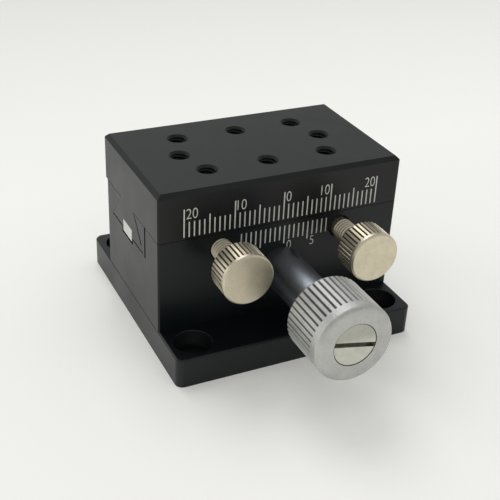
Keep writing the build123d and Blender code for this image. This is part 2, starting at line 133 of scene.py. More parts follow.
class ScaleSettings(bpy.types.PropertyGroup):
    """Sizes of the two engraved scales."""

    line_width: bpy.props.FloatProperty(
        name="Line width", description="Width of an engraved line", unit="LENGTH", default=0.25 * MM)
    paint_height: bpy.props.FloatProperty(
        name="Paint height", description="How far the paint stands proud", unit="LENGTH",
        default=0.015 * MM)
    division: bpy.props.FloatProperty(
        name="Division", description="Distance between two lines", unit="LENGTH", default=1.0 * MM)
    travel_divisions: bpy.props.IntProperty(
        name="Divisions each way", description="Lines each side of the carriage's zero", default=20)
    index_divisions: bpy.props.IntProperty(
        name="Index divisions each way", description="Lines each side of the body's zero", default=9)
    line_start: bpy.props.FloatProperty(
        name="Line start", description="Height of the lines' feet above the split", unit="LENGTH",
        default=0.45 * MM)
    short_line: bpy.props.FloatProperty(
        name="Short line", description="Length of a 1 mm line", unit="LENGTH", default=3.1 * MM)
    middle_line: bpy.props.FloatProperty(
        name="Middle line", description="Length of a 5 mm line", unit="LENGTH", default=4.0 * MM)
    long_line: bpy.props.FloatProperty(
        name="Long line", description="Length of a 10 mm line", unit="LENGTH", default=5.7 * MM)
    index_drop: bpy.props.FloatProperty(
        name="Index drop", description="From the body's top to its lines", unit="LENGTH",
        default=0.9 * MM)
    index_shift: bpy.props.FloatProperty(
        name="Index shift", description="Place of the body's zero along X", unit="LENGTH",
        default=0.45 * MM)
    index_short: bpy.props.FloatProperty(
        name="Short index line", description="Length of the body's short lines", unit="LENGTH",
        default=3.0 * MM)
    index_long: bpy.props.FloatProperty(
        name="Long index line", description="Length of the body's long lines", unit="LENGTH",
        default=3.8 * MM)
    numeral_height: bpy.props.FloatProperty(
        name="Numeral height", description="Height of the carriage's numerals", unit="LENGTH",
        default=2.05 * MM)
    numeral_gap: bpy.props.FloatProperty(
        name="Numeral gap", description="From a line's middle to its numeral", unit="LENGTH",
        default=0.42 * MM)
    index_gap: bpy.props.FloatProperty(
        name="Index numeral gap", description="From a body line's middle to its numeral", unit="LENGTH",
        default=0.65 * MM)
    index_numeral_height: bpy.props.FloatProperty(
        name="Index numeral height", description="Height of the body's numerals", unit="LENGTH",
        default=1.9 * MM)


class StudioSettings(bpy.types.PropertyGroup):
    """Camera, floor and lamps."""

    camera_place: bpy.props.FloatVectorProperty(
        name="Camera", description="Place of the camera", subtype="TRANSLATION",
        default=(-75.914 * MM, -153.065 * MM, 109.232 * MM))
    camera_azimuth: bpy.props.FloatProperty(
        name="Azimuth", description="Turn of the view about Z", subtype="ANGLE",
        default=math.radians(-26.645))
    camera_elevation: bpy.props.FloatProperty(
        name="Elevation", description="How far the camera looks down", subtype="ANGLE",
        default=math.radians(29.969))
    camera_roll: bpy.props.FloatProperty(
        name="Roll", description="Roll of the camera", subtype="ANGLE", default=math.radians(2.812))
    focal_length: bpy.props.FloatProperty(
        name="Focal length", description="Lens on a 36 mm sensor, in mm", default=68.392)
    floor_colour: bpy.props.FloatVectorProperty(
        name="Floor", description="Pale floor", subtype="COLOR", default=(0.91, 0.905, 0.86))
    floor_glow: bpy.props.FloatProperty(
        name="Floor glow", description="How far the floor is lit from below", default=0.19)
    world_strength: bpy.props.FloatProperty(
        name="World light", description="Strength of the even light", default=0.57)
    back_power: bpy.props.FloatProperty(
        name="Back softbox", description="Power of the softbox above and behind", unit="POWER", default=3.9)
    left_power: bpy.props.FloatProperty(
        name="Left softbox", description="Power of the low softbox at the left", unit="POWER", default=2.6)


# ------------------------------------------------------------------ node tools
def new_tree_material(name):
    """New node material: itself, its tree, its Principled shader and the object coordinates."""
    material = bpy.data.materials.new(name)
    material.use_nodes = True
    tree = material.node_tree
    shader = tree.nodes["Principled BSDF"]
    coordinates = tree.nodes.new("ShaderNodeTexCoord")
    return material, tree, shader, coordinates.outputs["Object"]


def add_group_node(tree, group, **values):
    """Places a shared group in a material and sets its inputs by name."""
    node = tree.nodes.new("ShaderNodeGroup")
    node.node_tree = group
    for name, value in values.items():
        node.inputs[name.replace("_", " ")].default_value = value
    return node


def start_group(name, inputs, outputs):
    """New shader node group with named sockets; returns the tree and its two ends."""
    group = bpy.data.node_groups.new(name, "ShaderNodeTree")
    for label, kind, value in inputs:
        socket = group.interface.new_socket(name=label, in_out="INPUT", socket_type=kind)
        if value is not None:
            socket.default_value = value
    for label, kind in outputs:
        group.interface.new_socket(name=label, in_out="OUTPUT", socket_type=kind)
    return group, group.nodes.new("NodeGroupInput"), group.nodes.new("NodeGroupOutput")


def math_node(tree, operation, first, second=None):
    """Math node fed by sockets or plain numbers; returns its output."""
    node = tree.nodes.new("ShaderNodeMath")
    node.operation = operation
    for socket, value in zip(node.inputs, (first, second)):
        if value is None:
            continue
        if isinstance(value, (int, float)):
            socket.default_value = value
        else:
            tree.links.new(value, socket)
    return node.outputs[0]


def noise_node(tree, vector, scale, detail=3.0, roughness=0.55):
    """Noise at a scale that is a socket or a number; returns its value."""
    node = tree.nodes.new("ShaderNodeTexNoise")
    node.inputs["Detail"].default_value = detail
    node.inputs["Roughness"].default_value = roughness
    if isinstance(scale, (int, float)):
        node.inputs["Scale"].default_value = scale
    else:
        tree.links.new(scale, node.inputs["Scale"])
    tree.links.new(vector, node.inputs["Vector"])
    return node.outputs["Fac"]


def mix_colour(tree, factor, first, second):
    """Mix of two colours, each a socket or a plain colour."""
    node = tree.nodes.new("ShaderNodeMix")
    node.data_type = "RGBA"
    for name, value in (("Factor", factor), ("A", first), ("B", second)):
        socket = [s for s in node.inputs if s.name == name and s.enabled][0]
        if isinstance(value, bpy.types.NodeSocket):
            tree.links.new(value, socket)
        else:
            socket.default_value = value
    return [s for s in node.outputs if s.enabled][0]


def map_range(tree, value, low, high, to_low=0.0, to_high=1.0):
    """A value's range carried over to another, and held at its ends."""
    node = tree.nodes.new("ShaderNodeMapRange")
    tree.links.new(value, node.inputs["Value"])
    for name, number in (("From Min", low), ("From Max", high), ("To Min", to_low), ("To Max", to_high)):
        node.inputs[name].default_value = number
    return node.outputs["Result"]


def separate(tree, vector):
    """The X, Y and Z outputs of a vector."""
    parts = tree.nodes.new("ShaderNodeSeparateXYZ")
    tree.links.new(vector, parts.inputs[0])
    return parts.outputs


def round_y(group, vector, start):
    """A place from a start on an axis along Y: its X, Y and Z, and its radius from that axis."""
    offset = group.nodes.new("ShaderNodeVectorMath")
    offset.operation = "SUBTRACT"
    group.links.new(vector, offset.inputs[0])
    group.links.new(start, offset.inputs[1])
    parts = separate(group, offset.outputs[0])
    square = math_node(group, "ADD", math_node(group, "MULTIPLY", parts["X"], parts["X"]),
                       math_node(group, "MULTIPLY", parts["Z"], parts["Z"]))
    return parts, math_node(group, "SQRT", square)


# ------------------------------------------------------------------ shared effects
def make_grain_group():
    """Fine blasted grain: cloudy colour, uneven roughness and a grain height."""
    group, ins, outs = start_group(
        "blasted_grain",
        [("Vector", "NodeSocketVector", None), ("Colour", "NodeSocketColor", None),
         ("Grain Scale", "NodeSocketFloat", 5000.0), ("Cloud Scale", "NodeSocketFloat", 160.0),
         ("Variation", "NodeSocketFloat", 0.25), ("Roughness", "NodeSocketFloat", 0.45),
         ("Roughness Spread", "NodeSocketFloat", 0.10)],
        [("Colour", "NodeSocketColor"), ("Roughness", "NodeSocketFloat"), ("Height", "NodeSocketFloat")])
    cloud = noise_node(group, ins.outputs["Vector"], ins.outputs["Cloud Scale"], 4.0)
    grain = noise_node(group, ins.outputs["Vector"], ins.outputs["Grain Scale"], 2.0)
    blend = math_node(group, "ADD", math_node(group, "MULTIPLY", cloud, 0.6),
                      math_node(group, "MULTIPLY", grain, 0.4))
    swing = math_node(group, "MULTIPLY", math_node(group, "SUBTRACT", blend, 0.5),
                      math_node(group, "MULTIPLY", ins.outputs["Variation"], 4.0))
    scale = group.nodes.new("ShaderNodeVectorMath")
    scale.operation = "SCALE"
    group.links.new(ins.outputs["Colour"], scale.inputs[0])
    group.links.new(math_node(group, "ADD", swing, 1.0), scale.inputs["Scale"])
    spread = math_node(group, "MULTIPLY", math_node(group, "SUBTRACT", blend, 0.5),
                       math_node(group, "MULTIPLY", ins.outputs["Roughness Spread"], 4.0))
    group.links.new(scale.outputs[0], outs.inputs["Colour"])
    group.links.new(math_node(group, "ADD", ins.outputs["Roughness"], spread), outs.inputs["Roughness"])
    group.links.new(grain, outs.inputs["Height"])
    return group


def make_turning_group():
    """Fine rings round an axis along Y, as a lathe tool leaves on a face or a rim."""
    group, ins, outs = start_group(
        "turning_rings",
        [("Vector", "NodeSocketVector", None), ("Axis", "NodeSocketVector", None),
         ("Feed", "NodeSocketFloat", 0.00012)],
        [("Height", "NodeSocketFloat"), ("Streaks", "NodeSocketFloat")])
    parts, radius = round_y(group, ins.outputs["Vector"], ins.outputs["Axis"])
    along = math_node(group, "ADD", radius, parts["Y"])
    turns = math_node(group, "DIVIDE", along, ins.outputs["Feed"])
    group.links.new(math_node(group, "SINE", math_node(group, "MULTIPLY", turns, 2 * math.pi)),
                    outs.inputs["Height"])
    ring = group.nodes.new("ShaderNodeCombineXYZ")
    group.links.new(math_node(group, "MULTIPLY", along, 9000.0), ring.inputs["X"])
    group.links.new(noise_node(group, ring.outputs[0], 1.0, 2.0), outs.inputs["Streaks"])
    return group


def make_dust_group():
    """A few pale specks of dust on faces, as a mask."""
    group, ins, outs = start_group(
        "dust_specks",
        [("Vector", "NodeSocketVector", None), ("Scale", "NodeSocketFloat", 900.0),
         ("Amount", "NodeSocketFloat", 0.04)],
        [("Mask", "NodeSocketFloat")])
    cells = group.nodes.new("ShaderNodeTexVoronoi")
    cells.feature = "F1"
    group.links.new(ins.outputs["Vector"], cells.inputs["Vector"])
    group.links.new(ins.outputs["Scale"], cells.inputs["Scale"])
    chance = group.nodes.new("ShaderNodeSeparateColor")
    group.links.new(cells.outputs["Color"], chance.inputs[0])
    chosen = math_node(group, "LESS_THAN", chance.outputs[0], ins.outputs["Amount"])
    near = map_range(group, cells.outputs["Distance"], 0.10, 0.03)
    group.links.new(math_node(group, "MULTIPLY", chosen, near), outs.inputs["Mask"])
    return group


def make_thread_group():
    """Painted shade in the groove of a screw thread round an axis along Y, within a radius and behind a
    start.
    """
    group, ins, outs = start_group(
        "thread_groove",
        [("Vector", "NodeSocketVector", None), ("Start", "NodeSocketVector", None),
         ("Pitch", "NodeSocketFloat", 0.0007), ("Limit", "NodeSocketFloat", 0.0022)],
        [("Groove", "NodeSocketFloat")])
    parts, radius = round_y(group, ins.outputs["Vector"], ins.outputs["Start"])
    thin = math_node(group, "LESS_THAN", radius, ins.outputs["Limit"])
    inside = math_node(group, "MULTIPLY", thin, math_node(group, "GREATER_THAN", parts["Y"], 0.0))
    turn = math_node(group, "DIVIDE", math_node(group, "ARCTAN2", parts["Z"], parts["X"]), 2 * math.pi)
    phase = math_node(group, "ADD", math_node(group, "DIVIDE", parts["Y"], ins.outputs["Pitch"]), turn)
    wave = math_node(group, "SINE", math_node(group, "MULTIPLY", phase, 2 * math.pi))
    groove = map_range(group, wave, 0.1, 0.9)
    group.links.new(math_node(group, "MULTIPLY", groove, inside), outs.inputs["Groove"])
    return group


def make_knurl_group():
    """Painted shade in the grooves of a knurled band round an axis along Y, below its crests and behind a
    start.
    """
    group, ins, outs = start_group(
        "knurl_groove_shade",
        [("Vector", "NodeSocketVector", None), ("Start", "NodeSocketVector", None),
         ("Crest", "NodeSocketFloat", 0.0076), ("Depth", "NodeSocketFloat", 0.0003)],
        [("Mask", "NodeSocketFloat")])
    parts, radius = round_y(group, ins.outputs["Vector"], ins.outputs["Start"])
    below = math_node(group, "SUBTRACT", ins.outputs["Crest"], radius)
    deep = map_range(group, math_node(group, "DIVIDE", below, ins.outputs["Depth"]), 0.03, 0.5)
    behind = math_node(group, "GREATER_THAN", parts["Y"], 0.0)
    group.links.new(math_node(group, "MULTIPLY", deep, behind), outs.inputs["Mask"])
    return group


EFFECT_MAKERS = {
    "grain": make_grain_group,
    "turning": make_turning_group,
    "dust": make_dust_group,
    "thread": make_thread_group,
    "knurl": make_knurl_group,
}
EFFECTS = {}


def effect(name):
    """A shared effect group, built once."""
    if name not in EFFECTS:
        EFFECTS[name] = EFFECT_MAKERS[name]()
    return EFFECTS[name]


def bump_from(tree, shader, height, strength, distance):
    """Bumps a shader's normal by a height."""
    bump = tree.nodes.new("ShaderNodeBump")
    bump.inputs["Strength"].default_value = strength
    bump.inputs["Distance"].default_value = distance
    tree.links.new(height, bump.inputs["Height"])
    tree.links.new(bump.outputs["Normal"], shader.inputs["Normal"])


# ------------------------------------------------------------------ finishes
def anodised(name, colour, roughness, sheen=0.31, bored=False):
    """Satin black anodising over a blasted face, with a little dust; bored pales the base plate's bores."""
    material, tree, shader, place = new_tree_material(name)
    grain = add_group_node(tree, effect("grain"), Colour=(*colour, 1), Grain_Scale=4200.0,
                           Cloud_Scale=110.0, Variation=0.22, Roughness=roughness,
                           Roughness_Spread=0.09)
    dust = add_group_node(tree, effect("dust"), Scale=700.0, Amount=0.02)
    tree.links.new(place, grain.inputs["Vector"])
    tree.links.new(place, dust.inputs["Vector"])
    tint = mix_colour(tree, math_node(tree, "MULTIPLY", dust.outputs["Mask"], 0.35),
                      grain.outputs["Colour"], (0.20, 0.195, 0.18, 1))
    shader.inputs["Metallic"].default_value = 0.0
    shader.inputs["Specular IOR Level"].default_value = sheen
    if bored:
        parts = separate(tree, place)
        skin = 0.05 * MM
        within_x = math_node(tree, "LESS_THAN", math_node(tree, "ABSOLUTE", parts["X"]), base_high.x - skin)
        within_y = math_node(tree, "LESS_THAN", math_node(tree, "ABSOLUTE", parts["Y"]), base_high.y - skin)
        low = math_node(tree, "LESS_THAN", parts["Z"], base_high.z - skin)
        bore = math_node(tree, "MULTIPLY", low, math_node(tree, "MULTIPLY", within_x, within_y))
        tint = mix_colour(tree, bore, tint, (0.012, 0.013, 0.015, 1))
    tree.links.new(tint, shader.inputs["Base Color"])
    tree.links.new(grain.outputs["Roughness"], shader.inputs["Roughness"])
    bump_from(tree, shader, grain.outputs["Height"], 0.22, 0.00003)
    return material


def blasted_metal(name, colour, roughness, knurl=None):
    """Bead-blasted bare metal with a fine sparkle; knurl says where painted shade lies in the knob's
    grooves.
    """
    material, tree, shader, place = new_tree_material(name)
    grain = add_group_node(tree, effect("grain"), Colour=(*colour, 1), Grain_Scale=3600.0,
                           Cloud_Scale=240.0, Variation=0.26, Roughness=roughness,
                           Roughness_Spread=0.12)
    tree.links.new(place, grain.inputs["Vector"])
    tint = grain.outputs["Colour"]
    if knurl:
        # Painted shade in the knob's knurl grooves, weaker towards the knob's top so grooves facing up read
        # lighter as if lit from above; fixed to the knob, it turns with it.
        groove_shade = add_group_node(tree, effect("knurl"), **knurl)
        tree.links.new(place, groove_shade.inputs["Vector"])
        height = separate(tree, place)["Z"]
        shade = map_range(tree, height, knob_low.z + 3 * MM, knob_high.z, 0.96, 0.62)
        tint = mix_colour(tree, math_node(tree, "MULTIPLY", groove_shade.outputs["Mask"], shade), tint,
                          (0.06, 0.062, 0.06, 1))
    tree.links.new(tint, shader.inputs["Base Color"])
    tree.links.new(grain.outputs["Roughness"], shader.inputs["Roughness"])
    shader.inputs["Metallic"].default_value = 0.9
    bump_from(tree, shader, grain.outputs["Height"], 0.9, 0.00008)
    return material


def turned_metal(name, colour, axis, roughness=0.28, metallic=1.0, strength=0.25):
    """Lathe-turned metal: faint rings round its own axis and uneven streaks."""
    material, tree, shader, place = new_tree_material(name)
    grain = add_group_node(tree, effect("grain"), Colour=(*colour, 1), Grain_Scale=2600.0,
                           Cloud_Scale=300.0, Variation=0.07, Roughness=roughness,
                           Roughness_Spread=0.05)
    rings = add_group_node(tree, effect("turning"), Axis=tuple(axis), Feed=0.00016)
    tree.links.new(place, grain.inputs["Vector"])
    tree.links.new(place, rings.inputs["Vector"])
    streak = map_range(tree, rings.outputs["Streaks"], 0.3, 0.7, -0.06, 0.06)
    tree.links.new(grain.outputs["Colour"], shader.inputs["Base Color"])
    tree.links.new(math_node(tree, "ADD", grain.outputs["Roughness"], streak), shader.inputs["Roughness"])
    shader.inputs["Metallic"].default_value = metallic
    bump_from(tree, shader, rings.outputs["Height"], strength, 0.000006)
    return material


def slotted_metal(name, colour):
    """Polished screw head, with a painted reflection of a dark room over its top half and painted shade in
    its slot.
    """
    material, tree, shader, place = new_tree_material(name)
    grain = add_group_node(tree, effect("grain"), Colour=(*colour, 1), Grain_Scale=900.0,
                           Cloud_Scale=170.0, Variation=0.22, Roughness=0.24, Roughness_Spread=0.10)
    tree.links.new(place, grain.inputs["Vector"])
    parts = separate(tree, place)
    # Painted shade in the slot, and a painted reflection darkening the head above its axis.
    slot = map_range(tree, parts["Y"], screw_low.y + 0.08 * MM, screw_low.y + 0.7 * MM)
    above = map_range(tree, parts["Z"], KNOB_AXIS.z, KNOB_AXIS.z + 1.6 * MM, 0.0, 0.45)
    painted_reflection = mix_colour(tree, above, grain.outputs["Colour"], tuple(c * 0.4 for c in colour) + (1,))
    tint = mix_colour(tree, math_node(tree, "MULTIPLY", slot, 0.6), painted_reflection, (0.10, 0.10, 0.085, 1))
    tree.links.new(tint, shader.inputs["Base Color"])
    tree.links.new(grain.outputs["Roughness"], shader.inputs["Roughness"])
    shader.inputs["Metallic"].default_value = 1.0
    bump_from(tree, shader, grain.outputs["Height"], 0.15, 0.00002)
    return material


def clamp_nickel(name, finish, axis, front):
    """Warm turned nickel, with painted shade in its knurl grooves and painted thread stripes where the
    shank is thin.
    """
    material, tree, shader, place = new_tree_material(name)
    grain = add_group_node(tree, effect("grain"), Colour=(*finish.clamp_colour, 1), Grain_Scale=2600.0,
                           Cloud_Scale=500.0, Variation=0.16, Roughness=0.36, Roughness_Spread=0.08)
    rings = add_group_node(tree, effect("turning"), Axis=tuple(axis), Feed=0.00016)
    thread = add_group_node(tree, effect("thread"), Start=(axis.x, front + CLAMP_HEAD_LENGTH, axis.z),
                            Pitch=THREAD_PITCH, Limit=2.2 * MM)
    knurl = add_group_node(tree, effect("knurl"), Start=(axis.x, front + CLAMP_RIM, axis.z),
                           Crest=(right_high.x - right_low.x) / 2, Depth=CLAMP_KNURL_DEPTH)
    for node in (grain, rings, thread, knurl):
        tree.links.new(place, node.inputs["Vector"])
    # Painted shade: dark stripes in the thread grooves on the bare shank, and darkened knurl grooves on the
    # head.
    thin = math_node(tree, "MULTIPLY", thread.outputs["Groove"], 0.75)
    groove_shade = math_node(tree, "MULTIPLY", knurl.outputs["Mask"], 0.85)
    head = math_node(tree, "LESS_THAN", separate(tree, place)["Y"], front + CLAMP_HEAD_LENGTH)
    dark = math_node(tree, "MAXIMUM", thin, math_node(tree, "MULTIPLY", groove_shade, head))
    tint = mix_colour(tree, dark, grain.outputs["Colour"], (0.03, 0.026, 0.02, 1))
    tree.links.new(tint, shader.inputs["Base Color"])
    tree.links.new(grain.outputs["Roughness"], shader.inputs["Roughness"])
    shader.inputs["Metallic"].default_value = 0.92
    bump_from(tree, shader, rings.outputs["Height"], 0.25, 0.000006)
    return material


def gloss_black(name, colour):
    """Glossy black tube."""
    material, tree, shader, place = new_tree_material(name)
    grain = add_group_node(tree, effect("grain"), Colour=(*colour, 1), Grain_Scale=1500.0,
                           Cloud_Scale=120.0, Variation=0.15, Roughness=0.36, Roughness_Spread=0.05)
    tree.links.new(place, grain.inputs["Vector"])
    tree.links.new(grain.outputs["Colour"], shader.inputs["Base Color"])
    tree.links.new(grain.outputs["Roughness"], shader.inputs["Roughness"])
    shader.inputs["Metallic"].default_value = 1.0
    bump_from(tree, shader, grain.outputs["Height"], 0.08, 0.00001)
    return material


def scale_paint(name, colour):
    """Matt paint rubbed into the engraving, a little worn."""
    material, tree, shader, place = new_tree_material(name)
    grain = add_group_node(tree, effect("grain"), Colour=(*colour, 1), Grain_Scale=6000.0,
                           Cloud_Scale=700.0, Variation=0.22, Roughness=0.62, Roughness_Spread=0.08)
    tree.links.new(place, grain.inputs["Vector"])
    tree.links.new(grain.outputs["Colour"], shader.inputs["Base Color"])
    tree.links.new(grain.outputs["Roughness"], shader.inputs["Roughness"])
    bump_from(tree, shader, grain.outputs["Height"], 0.3, 0.00002)
    return material


# ------------------------------------------------------------------ mesh tools
def piece_from(bm, name, material, body, smooth_angle=None):
    """Makes a named piece from a bmesh, with the given material in its own slot, and lets it ride on a
    body.
    """
    if smooth_angle is not None:
        for face in bm.faces:
            face.smooth = True
        for edge in bm.edges:
            edge.smooth = edge.is_manifold and edge.calc_face_angle(0.0) < smooth_angle
    mesh = bpy.data.meshes.new(name)
    bm.to_mesh(mesh)
    bm.free()
    piece = bpy.data.objects.new(name, mesh)
    bpy.context.scene.collection.objects.link(piece)
    mesh.materials.append(material)
    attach(piece, body)


def add_line(bm, x, low, high, face_y, settings):
    """One painted line on a front face, from low to high, with softened corners."""
    depth = settings.paint_height * 2
    place = Matrix.Translation((x, face_y, (low + high) / 2))
    size = Matrix.Diagonal((settings.line_width, depth, high - low, 1))
    made = bmesh.ops.create_cube(bm, size=1.0, matrix=place @ size)
    corners = [e for v in made["verts"] for e in v.link_edges
               if abs(e.verts[0].co.y - e.verts[1].co.y) > depth * 0.9]
    bmesh.ops.bevel(bm, geom=list(set(corners)), offset=settings.line_width * 0.22, segments=2,
                    affect="EDGES", profile=0.5, material=-1)


def add_numeral(bm, text, x, foot, height, face_y, settings, side, gap):
    """Numerals on a front face; side says on which side of x they stand, gap how far off."""
    curve = bpy.data.curves.new("numeral", "FONT")
    curve.body = text
    curve.extrude = NUMERAL_EXTRUDE
    curve.offset = NUMERAL_THINNING
    maker = bpy.data.objects.new("numeral", curve)
    bpy.context.scene.collection.objects.link(maker)
    bpy.context.view_layer.update()
    mesh = bpy.data.meshes.new_from_object(maker.evaluated_get(bpy.context.evaluated_depsgraph_get()))
    low = Vector([min(v.co[k] for v in mesh.vertices) for k in range(3)])
    high = Vector([max(v.co[k] for v in mesh.vertices) for k in range(3)])
    tall = height / (high.y - low.y)
    narrow = tall * NUMERAL_NARROWING
    start = x + gap if side > 0 else x - gap - (high.x - low.x) * narrow
    thin = settings.paint_height * 2 / (high.z - low.z)
    middle = (low.z + high.z) / 2
    flat = Matrix.Diagonal((narrow, tall, thin, 1)) @ Matrix.Translation((-low.x, -low.y, -middle))
    stand = Matrix.Translation((start, face_y, foot)) @ Matrix.Rotation(math.radians(90), 4, "X")
    mesh.transform(stand @ flat)
    bm.from_mesh(mesh)
    bpy.data.objects.remove(maker)
    bpy.data.curves.remove(curve)
    bpy.data.meshes.remove(mesh)


def thread_ridge(bm, start, axis, across, radius, crest, pitch, length):
    """Helical thread ridge round an axis, from its start along the axis for a length."""
    turns = int(length / pitch)
    profile = [(radius, 0.0), (crest, pitch * 0.32), (radius, pitch * 0.64)]
    points = [bm.verts.new(start + across * r + axis * a) for r, a in profile]
    edges = [bm.edges.new(pair) for pair in zip(points[:-1], points[1:])]
    bmesh.ops.spin(bm, geom=points + edges, cent=start, axis=axis,
                   dvec=axis * (pitch / THREAD_STEPS), angle=2 * math.pi * turns,
                   steps=THREAD_STEPS * turns)


def paint_node(name, material):
    """Gives a CAD node its finish."""
    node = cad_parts[name]
    if not node.material_slots:
        node.data.materials.append(material)
    for slot in node.material_slots:
        slot.material = material


# ------------------------------------------------------------------ operators
class STAGE_OT_black_parts(bpy.types.Operator):
    """Gives base plate, body and carriage their satin black anodising"""

    bl_idname = "stage.black_parts"
    bl_label = "Black parts"

    def execute(self, context):
        finish = context.scene.stage_finish
        paint_node("base_plate", anodised("anodised_base", finish.base_colour, 0.36, 0.30, bored=True))
        paint_node("stage_body", anodised("anodised_body", finish.body_colour, 0.37))
        paint_node("carriage", anodised("anodised_carriage", finish.carriage_colour, 0.37))
        return {"FINISHED"}


class STAGE_OT_drive_parts(bpy.types.Operator):
    """Finishes the knob, its screw, the sleeve and the parts of the drive"""

    bl_idname = "stage.drive_parts"
    bl_label = "Drive parts"

    def execute(self, context):
        finish = context.scene.stage_finish
        steel = turned_metal("ground_steel", (0.62, 0.62, 0.61), KNOB_AXIS, 0.3)
        bronze = turned_metal("sintered_bronze", (0.55, 0.36, 0.17), KNOB_AXIS, 0.45)
        paint_node("shaft_sleeve", gloss_black("gloss_black_sleeve", finish.sleeve_colour))
        knurl = {"Start": (KNOB_AXIS.x, knob_low.y + KNOB_RIM, KNOB_AXIS.z),
                 "Crest": (knob_high.x - knob_low.x) / 2, "Depth": KNOB_KNURL_DEPTH}
        paint_node("knob", blasted_metal("blasted_knob", finish.knob_colour, 0.50, knurl))
        paint_node("knob_screw", slotted_metal("polished_screw", finish.screw_colour))
        paint_node("rack", blasted_metal("ground_rack", (0.66, 0.66, 0.63), 0.38))
        for name in ("pinion_shaft", "pinion", "disc_spring"):
            paint_node(name, steel)
        for name in ("front_bush", "rear_bush", "thrust_washer"):
            paint_node(name, bronze)
        return {"FINISHED"}


class STAGE_OT_clamp_parts(bpy.types.Operator):
    """Finishes the two clamp screws and their pads"""

    bl_idname = "stage.clamp_parts"
    bl_label = "Clamp parts"

    def execute(self, context):
        finish = context.scene.stage_finish
        nylon = scale_paint("nylon_pad", (0.72, 0.70, 0.62))
        for side, axis in CLAMP_AXES.items():
            nickel = clamp_nickel(f"warm_nickel_{side}", finish, axis, CLAMP_FRONTS[side])
            paint_node(f"clamp_screw_{side}", nickel)
            paint_node(f"clamp_pad_{side}", nylon)
        return {"FINISHED"}


class STAGE_OT_fasteners(bpy.types.Operator):
    """Finishes the screws and pins below and inside"""

    bl_idname = "stage.fasteners"
    bl_label = "Fasteners"

    def execute(self, context):
        black = anodised("black_oxide", (0.03, 0.03, 0.033), 0.35)
        steel = turned_metal("pin_steel", (0.55, 0.55, 0.55), BACK, 0.25)
        for name in ("body_screws", "sleeve_set_screw", "rack_screws"):
            paint_node(name, black)
        for name in ("dowel_pins", "travel_stop_pin"):
            paint_node(name, steel)
        return {"FINISHED"}


class STAGE_OT_carriage_scale(bpy.types.Operator):
    """Engraves the travel scale and its numerals on the carriage"""

    bl_idname = "stage.carriage_scale"
    bl_label = "Carriage scale"

    def execute(self, context):
        settings = context.scene.stage_scale
        face_y = carriage_low.y
        foot = SPLIT_TOP + settings.line_start
        bm = bmesh.new()
        count = settings.travel_divisions
        for step in range(-count, count + 1):
            length = settings.short_line
            if step % 5 == 0:
                length = settings.middle_line
            if step % 10 == 0:
                length = settings.long_line
            add_line(bm, step * settings.division, foot, foot + length, face_y, settings)
        numeral_foot = foot + settings.long_line - settings.numeral_height
        for step in range(-count, count + 1, 10):
            side = 1 if step <= 0 else -1
            add_numeral(bm, str(abs(step)), step * settings.division, numeral_foot,
                        settings.numeral_height, face_y, settings, side, settings.numeral_gap)
        paint = scale_paint("scale_paint", context.scene.stage_finish.paint_colour)
        piece_from(bm, "carriage_scale", paint, "carriage")
        return {"FINISHED"}


class STAGE_OT_body_scale(bpy.types.Operator):
    """Engraves the short index scale on the body"""

    bl_idname = "stage.body_scale"
    bl_label = "Body scale"

    def execute(self, context):
        settings = context.scene.stage_scale
        face_y = body_low.y
        top = body_high.z - settings.index_drop
        bm = bmesh.new()
        count = settings.index_divisions
        for step in range(-count, count + 1):
            length = settings.index_long if step % 5 == 0 else settings.index_short
            x = step * settings.division + settings.index_shift
            add_line(bm, x, top - length, top, face_y, settings)
        foot = top - settings.index_long - settings.index_numeral_height * 0.75
        for step, side in ((-5, -1), (0, 1), (5, 1)):
            add_numeral(bm, str(abs(step)), step * settings.division + settings.index_shift, foot,
                        settings.index_numeral_height, face_y, settings, side, settings.index_gap)
        paint = scale_paint("index_paint", context.scene.stage_finish.paint_colour)
        piece_from(bm, "body_scale", paint, "stage_base")
        return {"FINISHED"}


class STAGE_OT_hole_threads(bpy.types.Operator):
    """Cuts the threads inside the carriage's tapped holes"""

    bl_idname = "stage.hole_threads"
    bl_label = "Hole threads"

    def execute(self, context):
        bm = bmesh.new()
        foot = carriage_high.z - TAPPED_MOUTH - TAPPED_THREAD_LENGTH
        corner_x, corner_y = CORNER_HOLES
        places = [(x, y) for x in (-corner_x, 0, corner_x) for y in (-corner_y, corner_y)]
        places += [(-END_HOLES, 0), (END_HOLES, 0)]
        for x, y in places:
            thread_ridge(bm, Vector((x, y, foot)), UP, ACROSS, TAPPED_RADIUS,
                         TAPPED_RADIUS - THREAD_DEPTH, THREAD_PITCH, TAPPED_THREAD_LENGTH)
        black = anodised("anodised_thread", (0.002, 0.0025, 0.0025), 0.5)
        piece_from(bm, "hole_threads", black, "carriage", SMOOTH_ANGLE)
        return {"FINISHED"}


class STAGE_OT_bore_rims(bpy.types.Operator):
    """Leaves a thin bright rim of pale metal at the mouths of the base plate's counterbores, as a painted
    highlight
    """

    bl_idname = "stage.bore_rims"
    bl_label = "Bore rims"

    def execute(self, context):
        bm = bmesh.new()
        radius = BORE_RADIUS - BORE_RIM_INSET
        reach_x = base_high.x - BORE_EDGE
        reach_y = base_high.y - BORE_EDGE
        height = base_high.z - BORE_RIM_HEIGHT / 2
        for side_x, side_y in ((-1, -1), (1, -1), (-1, 1), (1, 1)):
            place = Matrix.Translation((side_x * reach_x, side_y * reach_y, height))
            bmesh.ops.create_cone(bm, cap_ends=False, segments=64, radius1=radius, radius2=radius,
                                  depth=BORE_RIM_HEIGHT, matrix=place)
        # Pale metal ring as a painted highlight where the bores' edges catch the light.
        worn = blasted_metal("painted_highlight_rim", (0.20, 0.20, 0.20), 0.4)
        piece_from(bm, "bore_rims", worn, "stage_base", SMOOTH_ANGLE)
        return {"FINISHED"}


